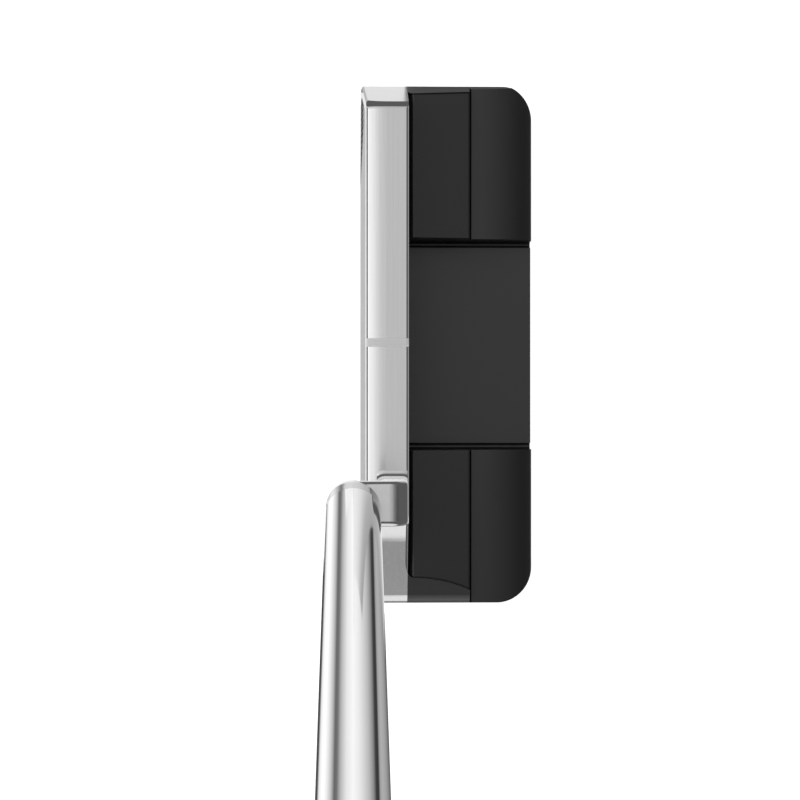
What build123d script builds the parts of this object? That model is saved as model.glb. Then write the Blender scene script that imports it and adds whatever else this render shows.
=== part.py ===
from build123d import *
import os
from math import cos, radians, sin, tan

# Mallet putter, right-handed, in millimetres.
# X runs along the head from the toe (-X) to the heel (+X), with X = 0 under the sight line.
# Y runs from the striking face (-Y) to the rear of the head (+Y), with Y = 0 at about mid depth.
# Z is up from the ground, and the sole's flat centre lies on Z = 0.

os.makedirs("parts", exist_ok=True)

# ---- Driving dimensions ----
LIE = 70.0                      # shaft axis above the ground
LOFT = 3.0                      # face, leaning back
CLUB_LENGTH = 889.0             # 35 in, along the shaft axis from the ground to the cap

TOE_X = -53.65
HEEL_X = 53.15
LEADING_EDGE_Y = -17.65
LEADING_EDGE_Z = 2.5
JOINT_Y = -8.05                 # face body meets rear body
REAR_Y = 17.9
REAR_CORNER_R = 7.4
TOP_Z = 25.0                    # top line
CROWN_Y = -14.3                 # the top line falls in front of this, to CROWN_FRONT_Z at the face
CROWN_R = 14.0
CROWN_FRONT_Z = 24.45
FACE_TOP_R = 0.6
TOE_CREASE_X = -47.6            # top line turns down into the toe facet
CREASE_START_X = -46.5          # the top line eases down from here, then drops at 45 degrees to the facet
CREASE_EASE = (0.4, 0.14)       # run and drop of the easing
EDGE_BREAK = ((0.5, 0.0), (0.2, 0.3), (0.0, 0.34))   # rear edge of the face body: in from the joint, down
EDGE_BEVEL = 0.35               # on the ends of the striking face
TOE_FACET_FOOT_Z = 9.0
SOLE_FLAT_HALF = 22.0
SOLE_END_Z = 3.2                # sole height where it would meet the end walls
SHELF_END_Z = 13.4              # heel shelf height where it would meet the end wall
SHELF_END_R = 3.2
SHELF_SLOPE = 0.47
SHELF_BREAK_X = (44.1, 46.6)    # the break on the shelf's rear edge runs out between these

CHANNEL_HALF = 21.68
CHANNEL_Z = 6.0
CHANNEL_GROOVE = 1.3
PAD_FRONT_Z = 16.35
PAD_STEP_Y = 4.75
PAD_STEP_Z = 14.5
PAD_STEP_DROP = 2.5
PAD_STEP_R = 0.45
PAD_STEP_GROOVE = (0.44, 0.8)   # width and depth of the groove at its foot
REAR_WALL_Z = 8.0
PAD_HEEL_X = 47.6               # heel end of the pad at its front, which curves out to the rear
PAD_HEEL_R = 27.0
PAD_HEEL_TURN = 1.2             # that end is rounded off towards the joint over this
PAD_GROOVE = 1.0                # slanting groove behind the top line, width and depth
PAD_GROOVE_DEPTH = 1.6
PAD_GROOVE_R = 0.45             # its rear lip
PAD_LINE = 0.36
PAD_LINE_DEPTH = 1.0

SIGHT_LINE_WIDTH = 1.7
SIGHT_LINE_DEPTH = 0.6

INSERT_LOW = 1.0                # insert pocket, up the face from the leading edge
INSERT_HIGH = 18.3
INSERT_PLATE = 1.4
INSERT_CARRIER = 3.2
INSERT_FILM = 0.2
INSERT_GAP = 0.12
FACE_GROOVE_PITCH = 1.2
FACE_GROOVE_WIDTH = 0.5
FACE_GROOVE_DEPTH = 0.2

SHAFT_Y = -19.15                # the shaft axis runs in this plane, square to the face
SHAFT_GROUND_X = 0.3            # where the shaft axis would meet the ground
SHAFT_TIP_Z = 83.0
SHAFT_TIP_D = 9.4               # 0.370 in parallel tip
SHAFT_BUTT_D = 14.7             # 0.580 in butt
SHAFT_WALL = 0.5
SHAFT_TIP_PARALLEL = 230.0
SHAFT_TAPER = 220.0
SPIGOT_D = 8.2
SPIGOT_LENGTH = 24.0

NECK_TOE_X = 25.13              # at the top of the arm
NECK_FOOT_X = 27.1             # toe side of the post on the top line
NECK_HEEL_X = 32.9
NECK_FLARE_R = 12.4
NECK_CORNER_R = 1.6             # front toe edge of the post
NECK_EDGE_R = 0.95
ARM_REAR_RUN = 1.7              # slope at the arm's rear top corner
ARM_REAR_FALL = 2.1
ARM_REAR_R = 3.2
NECK_FOOT_R = 1.9               # hollow round between post and top line
NECK_BARREL_D = (9.1, 8.7)      # under the shaft's tip and at its root, a slight cone
NECK_BARREL_LENGTH = 9.0
POST_DEPTH = 6.1
POST_LEAN = 1.4                 # the rear of the post leans forward by this at the top of the arm
ARM_TOP_Z = 79.8
ARM_BOTTOM_Z = 72.4
BARREL_X = 29.9                 # centre of the arm's rounded front end

WEIGHT_X = 39.0
WEIGHT_Y = 4.6
WEIGHT_HEAD_D = 16.0
WEIGHT_HEAD = 3.6
WEIGHT_SHANK_D = 10.0
WEIGHT_SHANK = 4.6
WEIGHT_WASHER = 0.4
WEIGHT_RECESS = 0.2
WEIGHT_HEX = 5.0
FIT_GAP = 0.15

SOLE_PLATE_X = 60.0
SOLE_PLATE_Y = 19.0
SOLE_PLATE_Z = 2.4
SOLE_PLATE_CENTRE_Y = 3.4
SOLE_PLATE_R = 4.0
SOLE_SCREW_X = 26.2
SOLE_SCREW_Y = 6.0
SOLE_SCREW_D = 3.0
SOLE_SCREW_HEAD_D = 5.6
SOLE_SCREW_LENGTH = 6.4

JOINT_SCREW_X = (27.0, 47.3)
JOINT_SCREW_Z = 8.6
JOINT_SCREW_D = 3.0
JOINT_SCREW_HEAD_D = 5.5
JOINT_SCREW_HEAD = 1.9
JOINT_SCREW_GRIP = 8.0          # length in the rear body
DOWEL_X = 37.0
DOWEL_Z = 11.5
DOWEL_D = 3.0
DOWEL_HALF = 3.0

GRIP_LENGTH = 267.0
GRIP_SKIN = 1.6
GRIP_CAP = 4.0
GRIP_TAPE = 0.15
GRIP_VENT_D = 2.6
# Stations along the grip: share of its length, width, depth behind the axis, depth of the flat
GRIP_STATIONS = (
    (0.00, 20.0, 10.0, 9.2),
    (0.30, 21.4, 10.8, 9.8),
    (0.62, 24.0, 12.6, 10.6),
    (0.86, 26.6, 17.2, 11.2),
    (1.00, 26.0, 18.4, 11.2),
)

# ---- Derived ----
BIG = 400.0
TOE_FACET_SLOPE = (TOE_CREASE_X - TOE_X) / (TOP_Z - TOE_FACET_FOOT_Z)
SOLE_SLOPE = SOLE_END_Z / (HEEL_X - SOLE_FLAT_HALF)
GROUND_TO_TIP = SHAFT_TIP_Z / sin(radians(LIE))
SHAFT_LENGTH = CLUB_LENGTH - GROUND_TO_TIP - GRIP_CAP
SHAFT_TIP_X = SHAFT_GROUND_X + SHAFT_TIP_Z / tan(radians(LIE))
INSERT_POCKET = INSERT_PLATE + INSERT_CARRIER + INSERT_FILM

# Working plane of the shaft and grip: +Z up the shaft, +X to the underside, +Y to the rear.
SHAFT_PLANE = Plane(
    origin=(SHAFT_TIP_X, SHAFT_Y, SHAFT_TIP_Z),
    x_dir=(sin(radians(LIE)), 0, -cos(radians(LIE))),
    z_dir=(cos(radians(LIE)), 0, sin(radians(LIE))),
)
# Working plane of the striking face: +X to the heel, +Y up the face, +Z out of the face.
FACE_PLANE = Plane(
    origin=(0, LEADING_EDGE_Y, LEADING_EDGE_Z),
    x_dir=(1, 0, 0),
    z_dir=(0, -cos(radians(LOFT)), sin(radians(LOFT))),
)

# Clearances and small breaks
CLEARANCE_HOLE = 0.1            # on the diameter, round a joint screw
HEAD_CLEARANCE = 0.3            # on the diameter, round a joint screw's head
THREAD_SPACE = 0.04             # on the diameter, where a thread bites
HOLE_END_SPACE = 0.5            # beyond a screw's tip
SEAT_SPACE = 0.2                # over a joint screw's head, and round a plain shank
FILM_MARGIN = 0.4               # adhesive film inside the pocket's edge
SCREW_SOCKET = (2.5, 1.3)       # joint screw drive, across flats and depth
SOLE_SCREW_SOCKET = 2.0
SOLE_SCREW_NECK = 1.2           # from the sole to where the plain screw starts
SOLE_SCREW_SINK = 0.1           # heads below the sole plate
SOLE_PLATE_BREAK = 0.25
DOWEL_BREAK = 0.3
WEIGHT_BREAKS = (0.4, 0.6)      # chamfers of a weight's head and tip
WEIGHT_DRIVE = (3.0, 4)         # drive's place below the head and depth

# Outlines on the face plane: X, Z and corner radius
INSERT_OUTLINE = (
    (-36.0, INSERT_LOW, 20),
    (36.0, INSERT_LOW, 20),
    (51.2, INSERT_LOW + 2.2, 3),
    (51.2, 7.6, 2.5),
    (48.4, 11.0, 4),
    (38.5, 15.6, 10),
    (33.5, INSERT_HIGH, 3),
    (-46.6, INSERT_HIGH, 2),
    (-51.2, 6.6, 3),
    (-51.2, INSERT_LOW + 2.2, 2.4),
)
CORNER_LOBE = ((32.6, -3.0, 0), (32.6, 1.0, 0), (44.6, 12.2, 3), (60.0, 12.7, 0), (60.0, -3.0, 0))
CARRIER_RIB_X = 35.0            # first grooved rib of the carrier's corners
CARRIER_RIBS = 14

# Sole and edge shapes
SOLE_BLEND_R = 120
SOLE_END_R = 5
TOE_FOOT_R = 6
KEEL_Y = -12.5                  # where the sole turns up to the face
KEEL_R = 12
LEADING_Z = 0.9
LEADING_R = 2
REAR_TUCK = (9, 1.6)            # sole's rear edge turns up over this depth and height
REAR_TUCK_R = (30, 2)
NOSE_R = 1.1
SPIGOT_BREAK = 0.8
TAPE_START = 6                  # past the grip's mouth
CAP_BREAK_R = 1.6
CAP_PLUG = (8, 0.1)             # plug in the shaft's butt: length, and gap on the diameter
GRIP_FLAT_SHARE = 0.62          # of the half width that the thumb flat takes
GRIP_SHOULDER = (0.82, 0.86)    # shares of the front and half width that the spline passes
GRIP_BACK = (0.72, 0.66)        # shares of the back and half width that it passes


# ---- Helpers ----
def outline(corners):
    """Closed face from (u, v, corner radius) triples."""
    points = [(u, v) for u, v, _ in corners]
    radii = [r for _, _, r in corners]
    return make_face(FilletPolyline(*points, radius=radii, close=True))


def front_extrude(face, low_y, high_y):
    """Extrude a face drawn in X and Z from low_y to high_y."""
    return extrude(Plane.XZ.offset(-high_y) * face, high_y - low_y)


def side_extrude(face, low_x, high_x):
    """Extrude a face drawn in Y and Z from low_x to high_x."""
    return extrude(Plane.YZ.offset(low_x) * face, high_x - low_x)


def block(low, high):
    """Box between two corners."""
    size = [b - a for a, b in zip(low, high)]
    return Pos(*low) * Box(*size, align=(Align.MIN, Align.MIN, Align.MIN))


def rod(diameter, length, low=0.0):
    """Cylinder standing on z = low."""
    base = (Align.CENTER, Align.CENTER, Align.MIN)
    return Pos(0, 0, low) * Cylinder(diameter / 2, length, align=base)


def socket(across_flats, depth):
    """Hexagonal drive recess hanging down from z = 0."""
    hexagon = RegularPolygon(across_flats / 2, 6, major_radius=False)
    return extrude(hexagon, -depth)


def face_y(z):
    return LEADING_EDGE_Y + (z - LEADING_EDGE_Z) * tan(radians(LOFT))


def toe_facet_x(z):
    return TOE_CREASE_X - (TOP_Z - z) * TOE_FACET_SLOPE


def shelf_z(x):
    return SHELF_END_Z + SHELF_SLOPE * (HEEL_X - x)


def mirrored_x(x):
    return (-x, x)


def save(shape, name):
    export_step(shape, f"parts/{name}.step")


# ---- Head envelope ----
def head_outline(top_z):
    """Heel-to-toe outline of the head, drawn in X and Z and cut level at top_z."""
    peak_z = TOP_Z + 15
    full = outline(
        [
            (-SOLE_FLAT_HALF, 0, SOLE_BLEND_R),
            (SOLE_FLAT_HALF, 0, SOLE_BLEND_R),
            (HEEL_X, SOLE_END_Z, SOLE_END_R),
            (HEEL_X, SHELF_END_Z, SHELF_END_R),
            (NECK_HEEL_X, shelf_z(NECK_HEEL_X), NECK_FLARE_R),
            (NECK_HEEL_X, peak_z, 0),
            (toe_facet_x(peak_z), peak_z, 0),
            (TOE_X, TOE_FACET_FOOT_Z, TOE_FOOT_R),
            (TOE_X, SOLE_END_Z, SOLE_END_R),
        ]
    )
    window = Pos(0, top_z / 2 - 1) * Rectangle(BIG, top_z + 2)
    return full & window


def front_section():
    """Fore-and-aft section of the steel face body, in Y and Z."""
    return outline(
        [
            (KEEL_Y, 0, KEEL_R),
            (face_y(LEADING_Z), LEADING_Z, LEADING_R),
            (face_y(CROWN_FRONT_Z), CROWN_FRONT_Z, FACE_TOP_R),
            (CROWN_Y, TOP_Z, CROWN_R),
        ]
        + [(JOINT_Y - inward, TOP_Z - down, 0) for inward, down in EDGE_BREAK]
        + [(JOINT_Y, 0, 0)]
    )


def under_crown():
    """Everything under the top line's crowned surface, which bends down at the toe crease."""
    front_y = face_y(CROWN_FRONT_Z)
    fall = (TOP_Z - CROWN_FRONT_Z) / (CROWN_Y - front_y)
    section = outline(
        [
            (front_y - 4, CROWN_FRONT_Z - 4 * fall, 0),
            (CROWN_Y, TOP_Z, CROWN_R),
            (JOINT_Y + 2, TOP_Z, 0),
            (JOINT_Y + 2, -BIG, 0),
            (front_y - 4, -BIG, 0),
        ]
    )
    run, drop = CREASE_EASE
    level = side_extrude(section, CREASE_START_X, BIG)
    easing = extrude(Plane.YZ.offset(CREASE_START_X) * section, Vector(run, drop).length, dir=(-run, 0, -drop))
    lower = Plane.YZ.offset(CREASE_START_X - run) * Pos(0, -drop, 0) * section
    return level + easing + extrude(lower, 20, dir=(-1, 0, -1))


def rear_section():
    """Fore-and-aft section of the rear body through a pad, in Y and Z."""
    step_z = PAD_STEP_Z - PAD_STEP_DROP
    foot_y = PAD_STEP_Y + PAD_STEP_GROOVE[0]
    roll = EllipticalCenterArc((foot_y, REAR_WALL_Z), REAR_Y - foot_y, step_z - REAR_WALL_Z, 0, arc_size=90)
    rest = FilletPolyline(
        (foot_y, step_z),
        (PAD_STEP_Y, step_z - PAD_STEP_GROOVE[1]),
        (PAD_STEP_Y, PAD_STEP_Z),
        (JOINT_Y + PAD_GROOVE, PAD_FRONT_Z),
        (JOINT_Y, PAD_FRONT_Z - PAD_GROOVE_DEPTH),
        (JOINT_Y, 0),
        (REAR_Y - REAR_TUCK[0], 0),
        (REAR_Y, REAR_TUCK[1]),
        (REAR_Y, REAR_WALL_Z),
        radius=[0, PAD_STEP_R, PAD_GROOVE_R, 0, 0, *REAR_TUCK_R],
    )
    return make_face(roll + rest)


# ---- Head parts ----
def insert_outline(gap):
    """Outline of the face insert on the face plane, gap inside its pocket."""
    pocket = outline(INSERT_OUTLINE)
    return offset(pocket, -gap) if gap else pocket


def corner_lobe(side):
    """Lower corner of the insert where the carrier comes through to the face; side is -1 at the toe."""
    lobe = outline(CORNER_LOBE)
    return lobe if side > 0 else mirror(lobe, Plane.YZ)


def face_body_blank():
    """The face body before its pocket, slot and holes."""
    body = front_extrude(head_outline(TOP_Z), LEADING_EDGE_Y - 2, JOINT_Y)
    body &= side_extrude(front_section(), -BIG, BIG)
    body &= under_crown()
    for corner, outward, length in face_rim():
        body -= rim_bevel(corner, outward, length)
    return body


def face_rim():
    """Straight edges of the striking face: middle of each in X and Z, outward normal of its side, length."""
    facet_z = (TOP_Z + TOE_FACET_FOOT_Z) / 2
    end_z = (SOLE_END_Z + TOE_FACET_FOOT_Z) / 2
    shelf_x = HEEL_X - 6.5
    return [
        ((toe_facet_x(facet_z), facet_z), (-1, TOE_FACET_SLOPE), 24),
        ((TOE_X, end_z), (-1, 0), 14),
        ((HEEL_X, end_z), (1, 0), 18),
        ((shelf_x, shelf_z(shelf_x)), (SHELF_SLOPE, 1), 17),
    ]


def rim_bevel(corner, outward, length):
    """Block whose lower side bevels one edge of the striking face."""
    side = Vector(outward[0], 0, outward[1]).normalized()
    face = FACE_PLANE.z_dir
    x, z = corner
    depth = EDGE_BEVEL / 2**0.5
    middle = Vector(x, face_y(z), z) - (side + face).normalized() * depth
    plane = Plane(origin=middle, x_dir=side.cross(face), z_dir=side + face)
    return plane * Box(length, 4, 2, align=(Align.CENTER, Align.CENTER, Align.MIN))


def shelf_edge_break():
    """What is cut from the rear edge of the heel shelf, running out in a curve at the heel end."""
    start_x = SHELF_BREAK_X[0] - 8
    end_x = SHELF_BREAK_X[1] + 2
    low = [(JOINT_Y - inward, -down) for inward, down in EDGE_BREAK]
    section = Polyline(*low, (JOINT_Y + 1, low[-1][1]), (JOINT_Y + 1, 4), (low[0][0], 4), close=True)
    side = Plane(origin=(start_x, 0, shelf_z(start_x)), x_dir=(0, 1, 0), z_dir=(1, 0, 0)) * make_face(section)
    fall = Vector(1, 0, -SHELF_SLOPE)
    cut = extrude(side, (end_x - start_x) * fall.length, dir=fall)
    front_y = low[0][0]
    plan = make_face(
        Polyline((SHELF_BREAK_X[1], JOINT_Y), (SHELF_BREAK_X[1], JOINT_Y + 1), (start_x, JOINT_Y + 1))
        + Polyline((start_x, JOINT_Y + 1), (start_x, front_y), (SHELF_BREAK_X[0], front_y))
        + TangentArc((SHELF_BREAK_X[0], front_y), (SHELF_BREAK_X[1], JOINT_Y), tangent=(1, 0))
    )
    return cut & extrude(plan, BIG)


def make_face_body():
    body = face_body_blank()
    body -= shelf_edge_break()
    body -= extrude(FACE_PLANE * insert_outline(0), -INSERT_POCKET)
    body -= extrude(FACE_PLANE * insert_outline(0), 2)
    body -= sight_line_column() - sight_line_bed()
    for spot in joint_screw_places():
        body -= spot * rod(JOINT_SCREW_D + CLEARANCE_HOLE, BIG, -BIG / 2)
        body -= spot * rod(JOINT_SCREW_HEAD_D + HEAD_CLEARANCE, BIG, -JOINT_SCREW_HEAD)
    for spot in dowel_places():
        body -= spot * rod(DOWEL_D, 2 * DOWEL_HALF, -DOWEL_HALF)
    return body


def sight_line_column():
    """Everything above the slot's lowest point, as wide as the sight line."""
    half = SIGHT_LINE_WIDTH / 2
    return block((-half, -BIG, TOP_Z - 3), (half, BIG, BIG))


def sight_line_bed():
    """Everything under the floor of the sight-line slot, which follows the top line."""
    bed = side_extrude(front_section(), -BIG, BIG)
    return Pos(0, 0, -SIGHT_LINE_DEPTH) * bed + Pos(0, -1, -SIGHT_LINE_DEPTH) * bed


def make_sight_line():
    return side_extrude(front_section(), -BIG, BIG) & sight_line_column() - sight_line_bed()


def joint_screw_places():
    """Under the heads of the screws that hold the rear body, axis to the front."""
    seat_y = face_y(JOINT_SCREW_Z) + INSERT_POCKET + JOINT_SCREW_HEAD + SEAT_SPACE
    return [
        Location(Plane(origin=(x, seat_y, JOINT_SCREW_Z), z_dir=(0, -1, 0)))
        for distance in JOINT_SCREW_X
        for x in mirrored_x(distance)
    ]


def dowel_places():
    return [Location(Plane(origin=(x, JOINT_Y, DOWEL_Z), z_dir=(0, 1, 0))) for x in mirrored_x(DOWEL_X)]


def make_insert_plate():
    plate_face = insert_outline(INSERT_GAP)
    for side in (-1, 1):
        plate_face -= corner_lobe(side)
    plate = extrude(FACE_PLANE * plate_face, -INSERT_PLATE)
    groove = Box(BIG, FACE_GROOVE_WIDTH, 2 * FACE_GROOVE_DEPTH)
    rows = range(1, int(INSERT_HIGH / FACE_GROOVE_PITCH) + 1)
    return plate - [FACE_PLANE * Pos(0, row * FACE_GROOVE_PITCH, 0) * groove for row in rows]


def make_insert_carrier():
    carrier = extrude(FACE_PLANE * Pos(0, 0, -INSERT_PLATE) * insert_outline(INSERT_GAP), -INSERT_CARRIER)
    for side in (-1, 1):
        lobe_face = insert_outline(INSERT_GAP) & offset(corner_lobe(side), -INSERT_GAP)
        carrier += extrude(FACE_PLANE * lobe_face, -INSERT_PLATE)
    groove = Box(FACE_GROOVE_WIDTH, BIG, 2 * FACE_GROOVE_DEPTH)
    ribs = [side * (CARRIER_RIB_X + rib * FACE_GROOVE_PITCH) for rib in range(CARRIER_RIBS) for side in (-1, 1)]
    return carrier - [FACE_PLANE * Pos(x, 0, 0) * groove for x in ribs]


def make_insert_film():
    bed = FACE_PLANE * Pos(0, 0, INSERT_FILM - INSERT_POCKET)
    return extrude(bed * insert_outline(FILM_MARGIN), -INSERT_FILM)


def make_rear_body():
    body = front_extrude(head_outline(PAD_FRONT_Z + 2), JOINT_Y, REAR_Y)
    body &= side_extrude(rear_section(), -BIG, BIG) + heel_ledge()
    plan = outline(
        [
            (TOE_X, JOINT_Y, 0),
            (HEEL_X, JOINT_Y, 0),
            (HEEL_X, REAR_Y, REAR_CORNER_R),
            (TOE_X, REAR_Y, REAR_CORNER_R),
        ]
    )
    body &= extrude(plan, BIG)
    body -= channel_cut()
    body -= pad_line_cuts()
    for side in (-1, 1):
        body -= weight_place(side) * rod(WEIGHT_HEAD_D + 2 * FIT_GAP, WEIGHT_HEAD + WEIGHT_WASHER + 5, -5)
        shank_end = WEIGHT_HEAD + WEIGHT_WASHER + WEIGHT_SHANK
        body -= weight_place(side) * rod(WEIGHT_SHANK_D + THREAD_SPACE, shank_end + HOLE_END_SPACE)
    for spot in joint_screw_places():
        body -= spot * rod(JOINT_SCREW_D + THREAD_SPACE, BIG / 2, -joint_screw_length() - HOLE_END_SPACE)
    for spot in dowel_places():
        body -= spot * rod(DOWEL_D, 2 * DOWEL_HALF, -DOWEL_HALF)
    body -= sole_plate_blank(FIT_GAP)
    for spot in sole_screw_places():
        body -= spot * rod(SOLE_SCREW_D + THREAD_SPACE, SOLE_SCREW_LENGTH + HOLE_END_SPACE)
    return body


def channel_cut():
    """Centre channel between the pads, with a round-bottomed groove at the foot of each wall."""
    cut = block((-CHANNEL_HALF, JOINT_Y - 1, CHANNEL_Z), (CHANNEL_HALF, REAR_Y + 1, BIG))
    groove_r = CHANNEL_GROOVE / 2
    for x in mirrored_x(CHANNEL_HALF - groove_r):
        root = Pos(x, 0, CHANNEL_Z - groove_r) * Rot(90, 0, 0) * Cylinder(groove_r, BIG)
        slot = block((x - groove_r, -BIG, CHANNEL_Z - groove_r), (x + groove_r, BIG, CHANNEL_Z + 1))
        cut += root + slot
    return cut & block((-BIG, JOINT_Y - 1, 0), (BIG, BIG, BIG))


def heel_pad_end(inset):
    """Plan of what lies outside the pad's curved heel end, joint to step, grown inwards by inset."""
    turn_y = JOINT_Y + PAD_HEEL_TURN
    depth = PAD_STEP_Y - turn_y
    front_x = PAD_HEEL_X - PAD_HEEL_TURN - inset
    turn_x = PAD_HEEL_X - inset
    end_x = turn_x + PAD_HEEL_R - (PAD_HEEL_R**2 - depth**2) ** 0.5
    curve = TangentArc((front_x, JOINT_Y), (turn_x, turn_y), tangent=(1, 0.2))
    curve += TangentArc((turn_x, turn_y), (end_x, PAD_STEP_Y), tangent=(0, 1))
    far = Polyline((end_x, PAD_STEP_Y), (BIG, PAD_STEP_Y), (BIG, JOINT_Y), (front_x, JOINT_Y))
    return make_face(curve + far)


def heel_ledge():
    """The heel shelf's continuation beside the pad, which stands above the pad's fall to the rear."""
    return extrude(heel_pad_end(0), BIG)


def pad_line_cuts():
    """The fine lines along the toe end and the heel end of the pads."""
    toe_x = toe_facet_x(PAD_FRONT_Z)
    toe_step_x = toe_facet_x(PAD_STEP_Z)
    bed = Pos(0, 0, -PAD_LINE_DEPTH) * side_extrude(rear_section(), -BIG, BIG)
    toe_line = make_face(
        Polyline(
            (toe_x, JOINT_Y),
            (toe_x + PAD_LINE, JOINT_Y),
            (toe_step_x + PAD_LINE, PAD_STEP_Y),
            (toe_step_x, PAD_STEP_Y),
            close=True,
        )
    )
    heel_line = heel_pad_end(PAD_LINE) - heel_pad_end(0)
    return extrude(toe_line + heel_line, BIG) - bed


def weight_place(side):
    """Mouth of a weight port on the sloping end of the sole, Z into the head; side is -1 at the toe."""
    sole_z = (WEIGHT_X - SOLE_FLAT_HALF) * SOLE_SLOPE
    angle = radians(90) - SOLE_SLOPE
    up = (-side * cos(angle), 0, sin(angle))
    return Location(Plane(origin=(side * WEIGHT_X, WEIGHT_Y, sole_z), z_dir=up))


def make_weight(side):
    head = rod(WEIGHT_HEAD_D, WEIGHT_HEAD - WEIGHT_RECESS, WEIGHT_RECESS)
    head = chamfer(head.edges().sort_by(Axis.Z)[0], WEIGHT_BREAKS[0])
    shank = rod(WEIGHT_SHANK_D, WEIGHT_WASHER + WEIGHT_SHANK, WEIGHT_HEAD)
    shank = chamfer(shank.edges().sort_by(Axis.Z)[-1], WEIGHT_BREAKS[1])
    drive = Pos(0, 0, WEIGHT_RECESS + WEIGHT_DRIVE[0]) * socket(WEIGHT_HEX, WEIGHT_DRIVE[1])
    return weight_place(side) * (head + shank - drive)


def make_weight_washers():
    ring = rod(WEIGHT_HEAD_D - 2 * SEAT_SPACE, WEIGHT_WASHER, WEIGHT_HEAD)
    ring -= rod(WEIGHT_SHANK_D + SEAT_SPACE, BIG)
    return Compound([weight_place(side) * ring for side in (-1, 1)])


def joint_screw_length():
    """From under the head to the tip."""
    seat_y = face_y(JOINT_SCREW_Z) + INSERT_POCKET + JOINT_SCREW_HEAD + SEAT_SPACE
    return JOINT_Y - seat_y + JOINT_SCREW_GRIP


def make_joint_screws():
    screw = rod(JOINT_SCREW_HEAD_D, JOINT_SCREW_HEAD)
    screw += rod(JOINT_SCREW_D, joint_screw_length(), -joint_screw_length())
    screw -= Pos(0, 0, JOINT_SCREW_HEAD) * socket(*SCREW_SOCKET)
    return Compound([spot * screw for spot in joint_screw_places()])


def make_dowels():
    dowel = rod(DOWEL_D, 2 * (DOWEL_HALF - SEAT_SPACE), SEAT_SPACE - DOWEL_HALF)
    dowel = chamfer(dowel.edges().filter_by(GeomType.CIRCLE), DOWEL_BREAK)
    return Compound([spot * dowel for spot in dowel_places()])


def sole_plate_blank(gap):
    plan = RectangleRounded(SOLE_PLATE_X + 2 * gap, SOLE_PLATE_Y + 2 * gap, SOLE_PLATE_R + gap)
    return extrude(Pos(0, SOLE_PLATE_CENTRE_Y, -gap) * plan, SOLE_PLATE_Z + gap)


def sole_screw_places():
    """Mouths of the sole-plate screw holes, Z up."""
    return [
        Pos(x, SOLE_PLATE_CENTRE_Y + y, 0)
        for x in mirrored_x(SOLE_SCREW_X)
        for y in (-SOLE_SCREW_Y, SOLE_SCREW_Y)
    ]


def countersink(clearance):
    """Countersunk head space, its mouth at z = 0."""
    mouth = SOLE_SCREW_HEAD_D / 2 + clearance
    throat = SOLE_SCREW_D / 2 + clearance
    base = (Align.CENTER, Align.CENTER, Align.MIN)
    return Cone(mouth, throat, mouth - throat, align=base)


def make_sole_plate():
    plate = sole_plate_blank(0)
    plate = chamfer(plate.faces().sort_by(Axis.Z)[0].edges(), SOLE_PLATE_BREAK)
    plate &= front_extrude(head_outline(TOP_Z), -BIG, BIG)
    for spot in sole_screw_places():
        plate -= spot * (rod(SOLE_SCREW_D + SEAT_SPACE, BIG) + countersink(SEAT_SPACE / 2))
    return plate


def make_sole_screws():
    screw = countersink(0.0) + rod(SOLE_SCREW_D, SOLE_SCREW_LENGTH - SOLE_SCREW_NECK, SOLE_SCREW_NECK)
    screw -= rod(BIG / 4, SOLE_SCREW_SINK)
    screw -= Pos(0, 0, SCREW_SOCKET[1]) * socket(SOLE_SCREW_SOCKET, 2)
    return Compound([spot * screw for spot in sole_screw_places()])


# ---- Neck ----
def neck_side_profile():
    """Post and arm seen from the toe, in Y and Z, reaching down into the top line."""
    front = SHAFT_Y + SHAFT_TIP_D / 2
    rear = front + POST_DEPTH
    return outline(
        [
            (front, TOP_Z - 1, 0),
            (rear, TOP_Z - 1, 0),
            (rear - POST_LEAN, ARM_TOP_Z - ARM_REAR_FALL, 1.0),
            (rear - POST_LEAN - ARM_REAR_RUN, ARM_TOP_Z, ARM_REAR_R),
            (SHAFT_Y, ARM_TOP_Z, 0),
            (SHAFT_Y, ARM_BOTTOM_Z, 0),
            (front, ARM_BOTTOM_Z, 4.0),
        ]
    )


def neck_front_profile():
    """Post and arm seen from the front, in X and Z."""
    return make_face(
        Polyline(
            (NECK_FOOT_X, TOP_Z - 1),
            (NECK_TOE_X, ARM_TOP_Z),
            (NECK_HEEL_X, ARM_TOP_Z),
            (NECK_HEEL_X, TOP_Z - 1),
            close=True,
        )
    )


def long_edges(crank, under):
    """Edges that run along the crank: those under the arm and down the post's front, or all the others."""
    front_y = SHAFT_Y + SHAFT_TIP_D / 2
    found = []
    for edge in crank.edges():
        middle = edge.center()
        if abs(edge.tangent_at(0.5).X) < 0.1 and middle.Z > TOP_Z and middle.Y > SHAFT_Y + 0.1:
            is_under = middle.Z < ARM_BOTTOM_Z + 1 and middle.Y < front_y + 0.1
            if is_under == under:
                found.append(edge)
    return ShapeList(found)


def make_crank():
    """Post and arm with their long edges rounded, the front toe edge most."""
    crank = side_extrude(neck_side_profile(), NECK_TOE_X - 1, NECK_HEEL_X + 1)
    crank &= front_extrude(neck_front_profile(), -BIG, BIG)
    crank = fillet(long_edges(crank, under=False), NECK_EDGE_R)
    middle_x = (NECK_TOE_X + NECK_HEEL_X) / 2
    toe_side = [edge for edge in long_edges(crank, under=True) if edge.center().X < middle_x]
    crank = fillet(toe_side, NECK_CORNER_R)
    heel_side = [edge for edge in long_edges(crank, under=True) if edge.center().X > middle_x + 1]
    return fillet(heel_side, NECK_EDGE_R)


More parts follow.
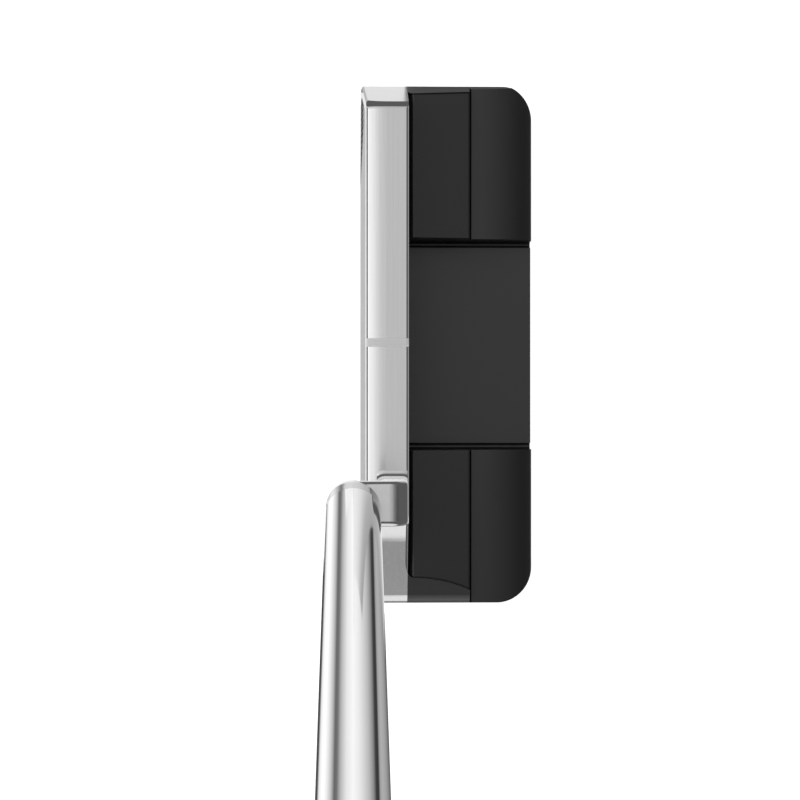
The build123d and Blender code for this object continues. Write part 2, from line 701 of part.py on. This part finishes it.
def neck_foot(crank):
    """Hollow round at the toe side of the post, where it stands on the top line."""
    bed_z = TOP_Z - 0.03
    bed = block((0, -30, 15), (60, 10, bed_z))
    joined = bed + crank
    low_edges = [edge for edge in joined.edges() if abs(edge.center().Z - bed_z) < 0.01]
    seam = [edge for edge in low_edges if 20 < edge.center().X < 40]
    front = SHAFT_Y + SHAFT_TIP_D / 2
    low = (NECK_FOOT_X - 2 * NECK_FOOT_R, front, bed_z + 0.01)
    high = (NECK_HEEL_X - NECK_EDGE_R, front + POST_DEPTH, TOP_Z + 2 * NECK_FOOT_R)
    return fillet(seam, NECK_FOOT_R) & block(low, high)


def neck_flare():
    """Sweep from the heel side of the post down to the shelf."""
    flare = front_extrude(head_outline(TOP_Z + 14), -BIG, BIG) & side_extrude(neck_side_profile(), 0, BIG)
    flare &= block((NECK_FOOT_X + 1, -BIG, TOP_Z - 1), (BIG, BIG, BIG))
    rear_edge = flare.edges().filter_by(GeomType.ELLIPSE)
    return fillet(rear_edge, NECK_EDGE_R)


def make_neck():
    crank = make_crank()
    nose = Pos(BARREL_X, SHAFT_Y, 0) * rod(SHAFT_TIP_D, ARM_TOP_Z - ARM_BOTTOM_Z, ARM_BOTTOM_Z)
    nose = fillet(nose.edges().filter_by(GeomType.CIRCLE), NOSE_R)
    top_d, root_d = NECK_BARREL_D
    hung = (Align.CENTER, Align.CENTER, Align.MAX)
    barrel = SHAFT_PLANE * Cone(root_d / 2, top_d / 2, NECK_BARREL_LENGTH, align=hung)
    barrel &= Pos(BARREL_X, SHAFT_Y, 0) * rod(SHAFT_TIP_D, BIG, ARM_BOTTOM_Z + 2)
    spigot = rod(SPIGOT_D, SPIGOT_LENGTH + 1, -1)
    spigot = chamfer(spigot.edges().sort_by(Axis.Z)[-1], SPIGOT_BREAK)
    neck = crank + neck_foot(crank) + neck_flare() + nose + barrel + SHAFT_PLANE * spigot
    return neck - face_body_blank()


# ---- Shaft and grip, all standing on the shaft plane ----
def shaft_profile(wall):
    """Half section of the tube, inset by wall: radius and height pairs from the tip up."""
    tip = SHAFT_TIP_D / 2 - wall
    butt = SHAFT_BUTT_D / 2 - wall
    taper_end = SHAFT_TIP_PARALLEL + SHAFT_TAPER
    return [(tip, 0), (tip, SHAFT_TIP_PARALLEL), (butt, taper_end), (butt, SHAFT_LENGTH)]


def revolved(points):
    return revolve(Plane.XZ * make_face(Polyline(*points, close=True)), Axis.Z)


def make_shaft():
    return SHAFT_PLANE * revolved(shaft_profile(0) + shaft_profile(SHAFT_WALL)[::-1])


def make_shaft_epoxy():
    bore = SHAFT_TIP_D - 2 * SHAFT_WALL
    return SHAFT_PLANE * (rod(bore, SPIGOT_LENGTH - 1, 0) - rod(SPIGOT_D, BIG))


def make_grip_tape():
    butt = SHAFT_BUTT_D
    low = SHAFT_LENGTH - GRIP_LENGTH + TAPE_START
    tube = rod(butt + 2 * GRIP_TAPE, SHAFT_LENGTH - 1 - low, low) - rod(butt, BIG * 3)
    return SHAFT_PLANE * tube


def grip_section(station, inset):
    """Section of the grip: round behind, flat on the thumb side."""
    share, width, back, flat = station
    half = width / 2 - inset
    rear = back - inset
    front = flat - inset
    points = [(-front, -half * GRIP_FLAT_SHARE), (-front, half * GRIP_FLAT_SHARE)]
    shoulder = (-front * GRIP_SHOULDER[0], half * GRIP_SHOULDER[1])
    quarter = (rear * GRIP_BACK[0], half * GRIP_BACK[1])
    face = make_face(
        Spline(
            points[1],
            shoulder,
            (0, half),
            quarter,
            (rear, 0),
            (quarter[0], -quarter[1]),
            (0, -half),
            (shoulder[0], -shoulder[1]),
            points[0],
        )
        + Line(points[0], points[1])
    )
    height = SHAFT_LENGTH - GRIP_LENGTH * (1 - share)
    return Pos(0, 0, height) * face


def grip_loft(inset):
    return loft([grip_section(station, inset) for station in GRIP_STATIONS])


def make_grip_skin():
    return SHAFT_PLANE * (grip_loft(0) - grip_loft(GRIP_SKIN))


def make_grip_underlisting():
    return SHAFT_PLANE * (grip_loft(GRIP_SKIN) - rod(SHAFT_BUTT_D + 2 * GRIP_TAPE, BIG * 3))


def make_grip_cap():
    end = grip_section(GRIP_STATIONS[-1], 0)
    cap = extrude(end, GRIP_CAP)
    cap = fillet(cap.faces().sort_by(Axis.Z)[-1].edges(), CAP_BREAK_R)
    plug, gap = CAP_PLUG
    cap += rod(SHAFT_BUTT_D - 2 * SHAFT_WALL - gap, plug, SHAFT_LENGTH - plug)
    cap -= rod(GRIP_VENT_D, BIG, SHAFT_LENGTH - plug - 1)
    return SHAFT_PLANE * cap


def main():
    save(make_face_body(), "face_body")
    save(make_sight_line(), "sight_line_inlay")
    save(make_insert_plate(), "insert_face_plate")
    save(make_insert_carrier(), "insert_carrier")
    save(make_insert_film(), "insert_adhesive_film")
    save(make_rear_body(), "rear_body")
    save(make_joint_screws(), "joint_screws")
    save(make_dowels(), "locating_dowels")
    save(make_weight(-1), "toe_weight")
    save(make_weight(1), "heel_weight")
    save(make_weight_washers(), "weight_washers")
    save(make_sole_plate(), "sole_plate")
    save(make_sole_screws(), "sole_plate_screws")
    save(make_neck(), "crank_neck")
    save(make_shaft(), "shaft")
    save(make_shaft_epoxy(), "shaft_epoxy")
    save(make_grip_tape(), "grip_tape")
    save(make_grip_underlisting(), "grip_underlisting")
    save(make_grip_skin(), "grip_skin")
    save(make_grip_cap(), "grip_cap")


main()
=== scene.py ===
import math
import bpy
from mathutils import Matrix, Vector
from mathutils.bvhtree import BVHTree


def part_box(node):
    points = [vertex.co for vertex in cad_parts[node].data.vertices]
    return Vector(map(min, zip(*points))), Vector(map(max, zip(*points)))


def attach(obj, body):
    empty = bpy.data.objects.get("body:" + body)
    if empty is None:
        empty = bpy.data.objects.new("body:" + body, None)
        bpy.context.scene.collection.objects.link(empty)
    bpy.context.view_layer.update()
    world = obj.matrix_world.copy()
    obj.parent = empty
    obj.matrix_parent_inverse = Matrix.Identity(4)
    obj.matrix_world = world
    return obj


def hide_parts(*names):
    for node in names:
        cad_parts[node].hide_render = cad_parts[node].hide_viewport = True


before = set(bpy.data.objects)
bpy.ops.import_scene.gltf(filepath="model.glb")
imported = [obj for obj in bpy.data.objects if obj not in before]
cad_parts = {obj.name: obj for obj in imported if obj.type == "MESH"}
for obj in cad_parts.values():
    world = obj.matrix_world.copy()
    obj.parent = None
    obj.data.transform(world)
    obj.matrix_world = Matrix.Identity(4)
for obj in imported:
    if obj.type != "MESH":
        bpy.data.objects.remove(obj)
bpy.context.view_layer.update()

# ---- Studio sizes, in metres ----
CAMERA_HEIGHT = 0.396
CAMERA_HEELWARD = 0.01142       # from the sight line
CAMERA_TURN = math.radians(1.44)
LENS_MM = 84.1
CAMERA_CLIP = 0.01
SHAFT_LEAN = math.radians(20)


# ---- Node helpers ----
def grey(level):
    return (level, level, level, 1.0)


def feed(tree, socket, value):
    """Link a socket to another node's output, or give it a plain value."""
    if isinstance(value, bpy.types.NodeSocket):
        tree.links.new(value, socket)
    else:
        socket.default_value = value


def calculate(tree, operation, a, b):
    node = tree.nodes.new("ShaderNodeMath")
    node.operation = operation
    feed(tree, node.inputs[0], a)
    feed(tree, node.inputs[1], b)
    return node.outputs["Value"]


def choose(tree, factor, first, second):
    """Colour between two colours by a factor."""
    node = tree.nodes.new("ShaderNodeMix")
    node.data_type = "RGBA"
    for index, value in ((0, factor), (6, first), (7, second)):
        feed(tree, node.inputs[index], value)
    return node.outputs[2]


def spread(tree, source, bounds, low=0.0, high=1.0):
    """Map a value between two bounds on to a range of numbers."""
    node = tree.nodes.new("ShaderNodeMapRange")
    tree.links.new(source, node.inputs["Value"])
    for socket, value in zip(("From Min", "From Max", "To Min", "To Max"), (*bounds, low, high)):
        node.inputs[socket].default_value = value
    return node.outputs["Result"]


def fade(tree, source, bounds):
    """Smooth step from 0 to 1 between two bounds of a value."""
    result = spread(tree, source, bounds)
    result.node.interpolation_type = "SMOOTHSTEP"
    return result


def gradient(tree, source, stops):
    """Grey levels along a 0 to 1 value."""
    node = tree.nodes.new("ShaderNodeValToRGB")
    elements = node.color_ramp.elements
    while len(elements) < len(stops):
        elements.new(0.5)
    for element, (position, level) in zip(elements, stops):
        element.position = position
        element.color = grey(level)
    tree.links.new(source, node.inputs["Fac"])
    return node.outputs["Color"]


class Shader:
    """A material under construction: a node tree with short calls to add to it."""

    def __init__(self, name):
        self.material = bpy.data.materials.new(name)
        self.material.use_nodes = True
        self.tree = self.material.node_tree
        self.bsdf = self.tree.nodes["Principled BSDF"]
        self.place = self.add("ShaderNodeTexCoord").outputs["Object"]

    def add(self, kind, **values):
        node = self.tree.nodes.new(kind)
        for key, value in values.items():
            setattr(node, key, value)
        return node

    def link(self, source, target):
        self.tree.links.new(source, target)

    def set(self, **values):
        """Values of the shader's own sockets, such as Base_Color."""
        for key, value in values.items():
            self.bsdf.inputs[key.replace("_", " ")].default_value = value

    def stretched(self, scale):
        """Object coordinates, scaled along each axis."""
        mapping = self.add("ShaderNodeMapping")
        mapping.inputs["Scale"].default_value = scale
        self.link(self.place, mapping.inputs["Vector"])
        return mapping.outputs["Vector"]

    def noise(self, vector, scale, detail=4.0, rough=0.5):
        node = self.add("ShaderNodeTexNoise")
        node.inputs["Scale"].default_value = scale
        node.inputs["Detail"].default_value = detail
        node.inputs["Roughness"].default_value = rough
        self.link(vector, node.inputs["Vector"])
        return node.outputs["Fac"]

    def ramp(self, source, low, high, start=0.0, end=1.0):
        """Map a 0 to 1 value on to a range of numbers."""
        return spread(self.tree, source, (start, end), low, high)

    def blend(self, factor, first, second):
        return choose(self.tree, factor, first, second)

    def bump(self, height, distance):
        node = self.add("ShaderNodeBump")
        node.inputs["Distance"].default_value = distance
        node.inputs["Strength"].default_value = 1.0
        self.link(height, node.inputs["Height"])
        self.link(node.outputs["Normal"], self.bsdf.inputs["Normal"])


# ---- Materials ----
def brushed_metal(name, tone, roughness, grain, depth=4e-6):
    """Metal with a fine directional grain; grain scales the noise along X, Y and Z."""
    shader = Shader(name)
    shader.set(Metallic=1.0)
    streaks = shader.noise(shader.stretched(grain), scale=1.0, detail=6.0, rough=0.6)
    clouds = shader.noise(shader.place, scale=60.0, detail=3.0)
    middle = shader.ramp(streaks, low=0.3, high=0.7, start=0.3, end=0.7)
    tint = shader.blend(middle, grey(tone * 0.9), grey(tone * 1.06))
    shader.link(tint, shader.bsdf.inputs["Base Color"])
    fine = shader.ramp(streaks, low=-0.05, high=0.05)
    broad = shader.ramp(clouds, low=roughness - 0.04, high=roughness + 0.04)
    shader.link(calculate(shader.tree, "ADD", fine, broad), shader.bsdf.inputs["Roughness"])
    shader.bump(streaks, depth)
    return shader.material


def chrome(name):
    shader = Shader(name)
    shader.set(Metallic=1.0)
    haze = shader.noise(shader.place, scale=25.0)
    polish = shader.noise(shader.stretched((900, 900, 12)), scale=1.0)
    tint = shader.blend(haze, (0.80, 0.80, 0.81, 1), (0.86, 0.86, 0.87, 1))
    shader.link(tint, shader.bsdf.inputs["Base Color"])
    shader.link(shader.ramp(polish, low=0.035, high=0.075), shader.bsdf.inputs["Roughness"])
    shader.bump(polish, distance=4e-7)
    return shader.material


def satin_black(name):
    """Bead-blasted steel under a black coating."""
    shader = Shader(name)
    blast = shader.noise(shader.place, scale=4200.0, detail=2.0)
    clouds = shader.noise(shader.place, scale=45.0)
    tint = shader.blend(clouds, (0.0125, 0.0125, 0.0120, 1), (0.0155, 0.0155, 0.0148, 1))
    shader.link(tint, shader.bsdf.inputs["Base Color"])
    shader.set(IOR=1.54)
    shader.link(shader.ramp(clouds, low=0.30, high=0.36), shader.bsdf.inputs["Roughness"])
    shader.bump(blast, distance=4e-6)
    return shader.material


def plain(name, first, second, roughness, scale=200.0, depth=1e-5):
    """Moulded or cast material: two close colours, uneven gloss, fine surface texture."""
    shader = Shader(name)
    grain = shader.noise(shader.place, scale, detail=5.0)
    shader.link(shader.blend(grain, first, second), shader.bsdf.inputs["Base Color"])
    shader.link(shader.ramp(grain, roughness - 0.05, roughness + 0.05), shader.bsdf.inputs["Roughness"])
    shader.bump(grain, depth)
    return shader.material


def dress():
    """Give every CAD node its material."""
    steel = brushed_metal("satin_steel", 0.62, 0.20, (40, 3000, 3000))
    neck = brushed_metal("satin_neck", 0.63, 0.19, (900, 900, 900), 2e-6)
    sole = brushed_metal("brushed_sole", 0.55, 0.28, (60, 3500, 3500))
    plate = brushed_metal("milled_insert", 0.60, 0.33, (60, 3000, 3000))
    dark = brushed_metal("dark_screw", 0.28, 0.35, (2000, 2000, 2000))
    weight = brushed_metal("turned_weight", 0.48, 0.25, (1800, 1800, 1800))
    wear = {
        "face_body": steel,
        "crank_neck": neck,
        "sight_line_inlay": plain("white_fill", grey(0.86), grey(0.92), 0.35),
        "insert_face_plate": plate,
        "insert_carrier": plain("insert_black", grey(0.018), grey(0.03), 0.55, 900.0),
        "insert_adhesive_film": plain("clear_film", (0.7, 0.68, 0.6, 1), (0.78, 0.75, 0.68, 1), 0.5),
        "rear_body": satin_black("coated_black"),
        "joint_screws": dark,
        "locating_dowels": plate,
        "toe_weight": weight,
        "heel_weight": weight,
        "weight_washers": plain("nylon", grey(0.1), grey(0.14), 0.6),
        "sole_plate": sole,
        "sole_plate_screws": dark,
        "shaft": chrome("shaft_chrome"),
        "shaft_epoxy": plain("epoxy", (0.5, 0.42, 0.25, 1), (0.58, 0.48, 0.3, 1), 0.3),
        "grip_tape": plain("paper_tape", (0.8, 0.77, 0.66, 1), (0.86, 0.83, 0.73, 1), 0.8),
        "grip_underlisting": plain("foam", grey(0.08), grey(0.12), 0.9, 800.0, 1e-4),
        "grip_skin": plain("grip_rubber", grey(0.02), grey(0.03), 0.6, 1500.0, 3e-5),
        "grip_cap": plain("cap_rubber", grey(0.018), grey(0.026), 0.55, 900.0, 2e-5),
    }
    for node, material in wear.items():
        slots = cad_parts[node].data.materials
        slots.clear()
        slots.append(material)


# ---- Grip ----
GRIP_STEP = 0.0007              # between rings outside
GRIP_INSIDE_STEP = 0.010        # and inside
GRIP_END_INSET = 2e-5           # the end rings are cast this far inside the skin's ends
GRIP_CAST = 0.06                # rays start this far outside
GRIP_DEPTH = 0.00028            # of the moulded pattern
GRIP_BAND = 0.009               # plain band at each end
RIB_PITCH = 0.0036
KNURL_PITCH = 0.0048
GRIP_ROUND = 120                # points round a ring
BAND_FADE = 0.001               # the pattern sets in over this length
THUMB_EDGE = (0.72, 0.82)       # ribs set in between these cosines of the turn from the thumb side
KNURL_EDGE = (0.43, 0.55)       # and the knurl fades out between these


def wave(value):
    """Smooth groove profile, 0 on the lands and 1 in the grooves, once per unit."""
    return max(0.0, math.cos(2 * math.pi * value)) ** 3


def ease(value, low, high):
    """0 below low, 1 above high, straight between them."""
    return min(1.0, max(0.0, (value - low) / (high - low)))


def grip_groove(along, length, turn, girth):
    """How deep the pattern is, 0 to 1: cross ribs on the thumb flat and a diamond knurl round the back."""
    past_band = min(along, length - along) - GRIP_BAND
    ribs = ease(math.cos(turn), *THUMB_EDGE) * wave(along / RIB_PITCH)
    threads = max(wave((along + girth) / KNURL_PITCH), wave((along - girth) / KNURL_PITCH))
    knurl = (1 - ease(math.cos(turn), *KNURL_EDGE)) * threads
    return ease(past_band, 0.0, BAND_FADE) * max(ribs, knurl)


def tube_faces(start, rings, inward):
    """Quads between the rings of points from start on, facing out or in."""
    for index in range(rings):
        for step in range(GRIP_ROUND):
            a = start + index * GRIP_ROUND + step
            b = start + index * GRIP_ROUND + (step + 1) % GRIP_ROUND
            loop = (a, b, b + GRIP_ROUND, a + GRIP_ROUND)
            yield loop[::-1] if inward else loop


def make_grip():
    """Moulded grip skin: the CAD skin's own surfaces, with the pattern pressed in to the outer one."""
    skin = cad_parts["grip_skin"]
    points = [skin.matrix_world @ vertex.co for vertex in skin.data.vertices]
    surface = BVHTree.FromPolygons(points, [list(polygon.vertices) for polygon in skin.data.polygons])
    tape_low, tape_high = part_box("grip_tape")
    centre = (tape_low + tape_high) / 2
    axis = Vector((math.sin(SHAFT_LEAN), 0, math.cos(SHAFT_LEAN)))
    thumb = Vector((-math.cos(SHAFT_LEAN), 0, math.sin(SHAFT_LEAN)))
    side = axis.cross(thumb)
    heights = [(point - centre).dot(axis) for point in points]
    low, high = min(heights), max(heights)
    length = high - low
    turns = [math.pi * (2 * step / GRIP_ROUND - 1) for step in range(GRIP_ROUND)]

    def ring(along, inside):
        level = min(max(low + along, low + GRIP_END_INSET), high - GRIP_END_INSET)
        middle = centre + axis * level
        for turn in turns:
            outward = thumb * math.cos(turn) + side * math.sin(turn)
            if inside:
                point = surface.ray_cast(middle, outward)[0]
            else:
                point = surface.ray_cast(middle + outward * GRIP_CAST, -outward)[0]
                girth = turn * (point - middle).length
                point -= outward * GRIP_DEPTH * grip_groove(along, length, turn, girth)
            yield point + axis * (low + along - level)

    vertices, faces, ends = [], [], []
    for inside, pitch in ((False, GRIP_STEP), (True, GRIP_INSIDE_STEP)):
        rings = round(length / pitch)
        start = len(vertices)
        for index in range(rings + 1):
            vertices.extend(ring(length * index / rings, inside))
        faces.extend(tube_faces(start, rings, inside))
        ends.append((start, start + rings * GRIP_ROUND))
    (outer_low, outer_high), (inner_low, inner_high) = ends
    for step in range(GRIP_ROUND):
        after = (step + 1) % GRIP_ROUND
        faces.append((outer_low + after, outer_low + step, inner_low + step, inner_low + after))
        faces.append((outer_high + step, outer_high + after, inner_high + after, inner_high + step))
    mesh = bpy.data.meshes.new("moulded_grip")
    mesh.from_pydata(vertices, [], faces)
    mesh.polygons.foreach_set("use_smooth", [True] * len(faces))
    mesh.materials.append(skin.data.materials[0])
    grip = bpy.data.objects.new("moulded_grip", mesh)
    bpy.context.scene.collection.objects.link(grip)
    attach(grip, "root")
    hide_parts("grip_skin")


# ---- Studio ----
FLOOR_SIZE = 12                 # metres
FLOOR_GLOW = 0.85
# Grey level overhead, from straight in front (0) over the top (0.5) to the rear (1)
CEILING = (
    (0.0, 0.70), (0.20, 0.95), (0.27, 0.85), (0.315, 0.70), (0.384, 0.53), (0.435, 0.46),
    (0.49, 0.41), (0.55, 0.39), (0.62, 0.34), (0.75, 0.16), (0.9, 0.04),
)
# Grey level over the heel, from overhead (0) down to the horizon (1)
HEEL_SKY = ((0.0, 0.40), (0.16, 0.30), (0.30, 0.05), (0.64, 0.05), (0.74, 0.28), (0.84, 0.28), (0.91, 0.62))
HEEL_FLOOR = 0.15
# Grey level below the horizon, in strips parallel to the shaft, from its heel side (0) past its toe side
# (0.5) and round to the heel side again (1)
STRIPS = (
    (0.0, 0.02), (0.11, 0.04), (0.145, 0.46), (0.21, 0.64), (0.262, 0.49), (0.305, 0.30), (0.335, 0.08),
    (0.36, 0.10), (0.39, 0.27), (0.444, 0.48), (0.5, 0.57), (0.555, 0.49), (0.64, 0.29), (0.68, 0.16),
    (0.707, 0.03), (0.735, 0.02), (0.755, 0.21), (0.785, 0.25), (0.83, 0.21), (0.9, 0.11), (0.95, 0.03),
    (1.0, 0.02),
)
STUDIO_POWER = 2.0
HORIZON = (0.42, 0.70)          # sines of elevation between which the dark horizon band fades out upwards
UNDER_HORIZON = (-0.60, -0.46)  # and downwards between these
HORIZON_LEVEL = 0.075
HEELWARD = (0.12, 0.30)         # the heel's sky takes over between these shares of +X
HEEL_PANEL = (0.84, 0.91)       # and its low panel between these
HEEL_PANEL_LEVEL = 0.62
WHITE_CARD_POWER = 1.05
TOE_FLAG_POWER = 0.25
FACE_CARD_REACH = 0.027         # metres past the face
FACE_CARD_SHORT = 0.009         # metres short of the heel
TOE_CARD_REACH = 0.045          # metres past the toe
TOE_FLAG_REACH = 0.020
TOE_CARD_GAP = 0.0005
CARD_HEIGHT = 0.0002
COVER_GAP = 0.0006              # over the top line
# Power of the cover from the face (0) to the rear (1)
COVER_POWER = ((0.0, 1.0), (0.27, 0.92), (0.5, 0.8), (0.65, 0.66), (0.8, 0.5), (1.0, 0.42))


def add_floor():
    """White floor that the polished parts don't mirror: they see the studio's strips of light instead."""
    bpy.ops.mesh.primitive_plane_add(size=FLOOR_SIZE, location=(0, 0, 0))
    floor = bpy.context.object
    floor.name = "studio_floor"
    shader = Shader("floor_white")
    mottle = shader.noise(shader.place, scale=3.0)
    shader.link(shader.blend(mottle, grey(0.80), grey(0.82)), shader.bsdf.inputs["Base Color"])
    shader.set(Roughness=0.9, Emission_Color=grey(1.0), Emission_Strength=FLOOR_GLOW)
    floor.data.materials.append(shader.material)
    floor.visible_glossy = False


def add_studio():
    """Soft light from over the front, a low panel at the heel end, strips below, and a plain background."""
    world = bpy.data.worlds.new("studio_world")
    world.use_nodes = True
    tree = world.node_tree
    direction = tree.nodes.new("ShaderNodeTexCoord").outputs["Generated"]
    split = tree.nodes.new("ShaderNodeSeparateXYZ")
    tree.links.new(direction, split.inputs[0])

    rearward = spread(tree, split.outputs["Y"], (-1.0, 1.0))
    heel_sky = gradient(tree, split.outputs["X"], HEEL_SKY)
    heelward = fade(tree, split.outputs["X"], HEELWARD)
    ceiling = choose(tree, heelward, gradient(tree, rearward, CEILING), heel_sky)
    upper = choose(tree, fade(tree, split.outputs["Z"], HORIZON), grey(HORIZON_LEVEL), ceiling)

    toeward = tree.nodes.new("ShaderNodeVectorMath")
    toeward.operation = "DOT_PRODUCT"
    toeward.inputs[1].default_value = (-math.cos(SHAFT_LEAN), 0, math.sin(SHAFT_LEAN))
    tree.links.new(direction, toeward.inputs[0])
    around = calculate(tree, "ARCTAN2", split.outputs["Y"], toeward.outputs["Value"])
    strips = gradient(tree, spread(tree, around, (-math.pi, math.pi)), STRIPS)
    lower = choose(tree, heelward, strips, grey(HEEL_FLOOR))
    lower = choose(tree, fade(tree, split.outputs["Z"], UNDER_HORIZON), lower, grey(HORIZON_LEVEL))

    studio = choose(tree, calculate(tree, "GREATER_THAN", split.outputs["Z"], 0.0), lower, upper)
    studio = choose(tree, fade(tree, split.outputs["X"], HEEL_PANEL), studio, grey(HEEL_PANEL_LEVEL))
    ray = tree.nodes.new("ShaderNodeLightPath")
    seen = choose(tree, ray.outputs["Is Camera Ray"], studio, grey(1.0 / STUDIO_POWER))
    background = tree.nodes["Background"]
    tree.links.new(seen, background.inputs["Color"])
    background.inputs["Strength"].default_value = STUDIO_POWER
    bpy.context.scene.world = world
    bpy.context.scene.view_settings.view_transform = "Standard"


def add_card(name, low, high, height, power=1.0):
    """Level card between two corners, which only polished parts see. Returns its shader."""
    middle = ((low[0] + high[0]) / 2, (low[1] + high[1]) / 2, height)
    bpy.ops.mesh.primitive_plane_add(size=1, location=middle)
    card = bpy.context.object
    card.name = name
    card.scale = (high[0] - low[0], high[1] - low[1], 1)
    shader = Shader(name + "_light")
    shader.set(Base_Color=grey(0.0), Roughness=1.0, Specular_IOR_Level=0.0)
    shader.set(Emission_Color=grey(1.0), Emission_Strength=power)
    card.data.materials.append(shader.material)
    card.visible_camera = False
    card.visible_diffuse = False
    card.visible_shadow = False
    return shader


def add_cards():
    """White cards under the face and the toe, and a dark one at the toe end of the rear body."""
    face_low, face_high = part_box("face_body")
    rear_low, rear_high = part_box("rear_body")
    toe_x = face_low.x
    beside_toe = toe_x - TOE_CARD_GAP
    add_card(
        "studio_face_card",
        (toe_x, face_low.y - FACE_CARD_REACH),
        (face_high.x - FACE_CARD_SHORT, rear_low.y),
        CARD_HEIGHT,
        WHITE_CARD_POWER,
    )
    add_card(
        "studio_toe_card",
        (toe_x - TOE_CARD_REACH, face_low.y),
        (beside_toe, rear_low.y),
        CARD_HEIGHT,
        WHITE_CARD_POWER,
    )
    add_card(
        "studio_toe_flag",
        (toe_x - TOE_FLAG_REACH, rear_low.y),
        (beside_toe, rear_high.y),
        CARD_HEIGHT,
        TOE_FLAG_POWER,
    )


def add_cover():
    """Light over the whole head that shows only from below."""
    face_low, face_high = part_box("face_body")
    rear_low, rear_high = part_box("rear_body")
    low, high = (rear_low.x, face_low.y), (rear_high.x, rear_high.y)
    light = add_card("studio_cover", low, high, face_high.z + COVER_GAP)
    across = light.add("ShaderNodeSeparateXYZ")
    light.link(light.place, across.inputs[0])
    share = spread(light.tree, across.outputs["Y"], (-0.5, 0.5))
    light.link(gradient(light.tree, share, COVER_POWER), light.bsdf.inputs["Emission Color"])
    clear = light.add("ShaderNodeBsdfTransparent")
    one_sided = light.add("ShaderNodeMixShader")
    light.link(light.add("ShaderNodeNewGeometry").outputs["Backfacing"], one_sided.inputs[0])
    light.link(light.bsdf.outputs[0], one_sided.inputs[1])
    light.link(clear.outputs[0], one_sided.inputs[2])
    light.link(one_sided.outputs[0], light.tree.nodes["Material Output"].inputs["Surface"])


def add_camera():
    """Straight above the shaft's plane, toe at the top of the picture, face at the left."""
    shaft_y = sum(corner.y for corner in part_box("shaft_epoxy")) / 2
    data = bpy.data.cameras.new("camera")
    data.lens = LENS_MM
    data.clip_start = CAMERA_CLIP
    camera = bpy.data.objects.new("camera", data)
    bpy.context.scene.collection.objects.link(camera)
    right = Vector((0, math.cos(CAMERA_TURN), math.sin(CAMERA_TURN)))
    up = Vector((-1, 0, 0))
    back = right.cross(up)
    turn = Matrix((right, up, back)).transposed()
    camera.matrix_world = Matrix.Translation((CAMERA_HEELWARD, shaft_y, CAMERA_HEIGHT)) @ turn.to_4x4()
    bpy.context.scene.camera = camera


dress()
make_grip()
add_floor()
add_cards()
add_cover()
add_studio()
add_camera()
